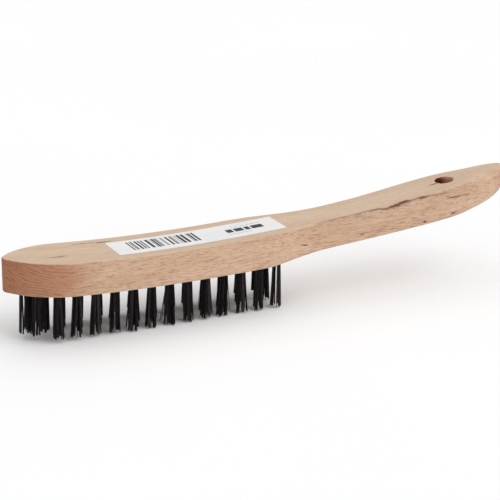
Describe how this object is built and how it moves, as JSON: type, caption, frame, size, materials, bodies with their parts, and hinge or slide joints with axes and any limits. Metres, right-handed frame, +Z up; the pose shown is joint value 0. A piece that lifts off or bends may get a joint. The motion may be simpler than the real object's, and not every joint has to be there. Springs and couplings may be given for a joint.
{
  "type": "wire brush",
  "caption": "Hand wire brush with a bent beech block and handle, rows of folded steel-wire tufts, a hanging hole and a paper label.",
  "frame": {"origin": "Middle of the bounding box's bottom face, on the plane of the lowest wire tips.", "axes": "+X runs along the brush to the handle tip, +Z points up from the wire tips to the label, +Y is across the head."},
  "size_m": [0.29, 0.0346, 0.0582],
  "materials": {
    "beech": "bare sanded beech",
    "wire_steel": "dark drawn steel wire",
    "anchor_steel": "flat steel strip",
    "paper": "white coated paper"
  },
  "bodies": {
    "root": {"label": "paper", "tuft_anchors": "anchor_steel", "tuft_far_01": "wire_steel", "tuft_far_02": "wire_steel", "tuft_far_03": "wire_steel", "tuft_far_04": "wire_steel", "tuft_far_05": "wire_steel", "tuft_far_06": "wire_steel", "tuft_far_07": "wire_steel", "tuft_far_08": "wire_steel", "tuft_far_09": "wire_steel", "tuft_far_10": "wire_steel", "tuft_far_11": "wire_steel", "tuft_far_12": "wire_steel", "tuft_far_13": "wire_steel", "tuft_middle_01": "wire_steel", "tuft_middle_02": "wire_steel", "tuft_middle_03": "wire_steel", "tuft_middle_04": "wire_steel", "tuft_middle_05": "wire_steel", "tuft_middle_06": "wire_steel", "tuft_middle_07": "wire_steel", "tuft_middle_08": "wire_steel", "tuft_middle_09": "wire_steel", "tuft_middle_10": "wire_steel", "tuft_middle_11": "wire_steel", "tuft_middle_12": "wire_steel", "tuft_middle_13": "wire_steel", "tuft_middle_14": "wire_steel", "tuft_near_01": "wire_steel", "tuft_near_02": "wire_steel", "tuft_near_03": "wire_steel", "tuft_near_04": "wire_steel", "tuft_near_05": "wire_steel", "tuft_near_06": "wire_steel", "tuft_near_07": "wire_steel", "tuft_near_08": "wire_steel", "tuft_near_09": "wire_steel", "tuft_near_10": "wire_steel", "tuft_near_11": "wire_steel", "tuft_near_12": "wire_steel", "tuft_near_13": "wire_steel", "tuft_nose_01": "wire_steel", "tuft_nose_02": "wire_steel", "wood_block": "beech"}
  },
  "joints": []
}
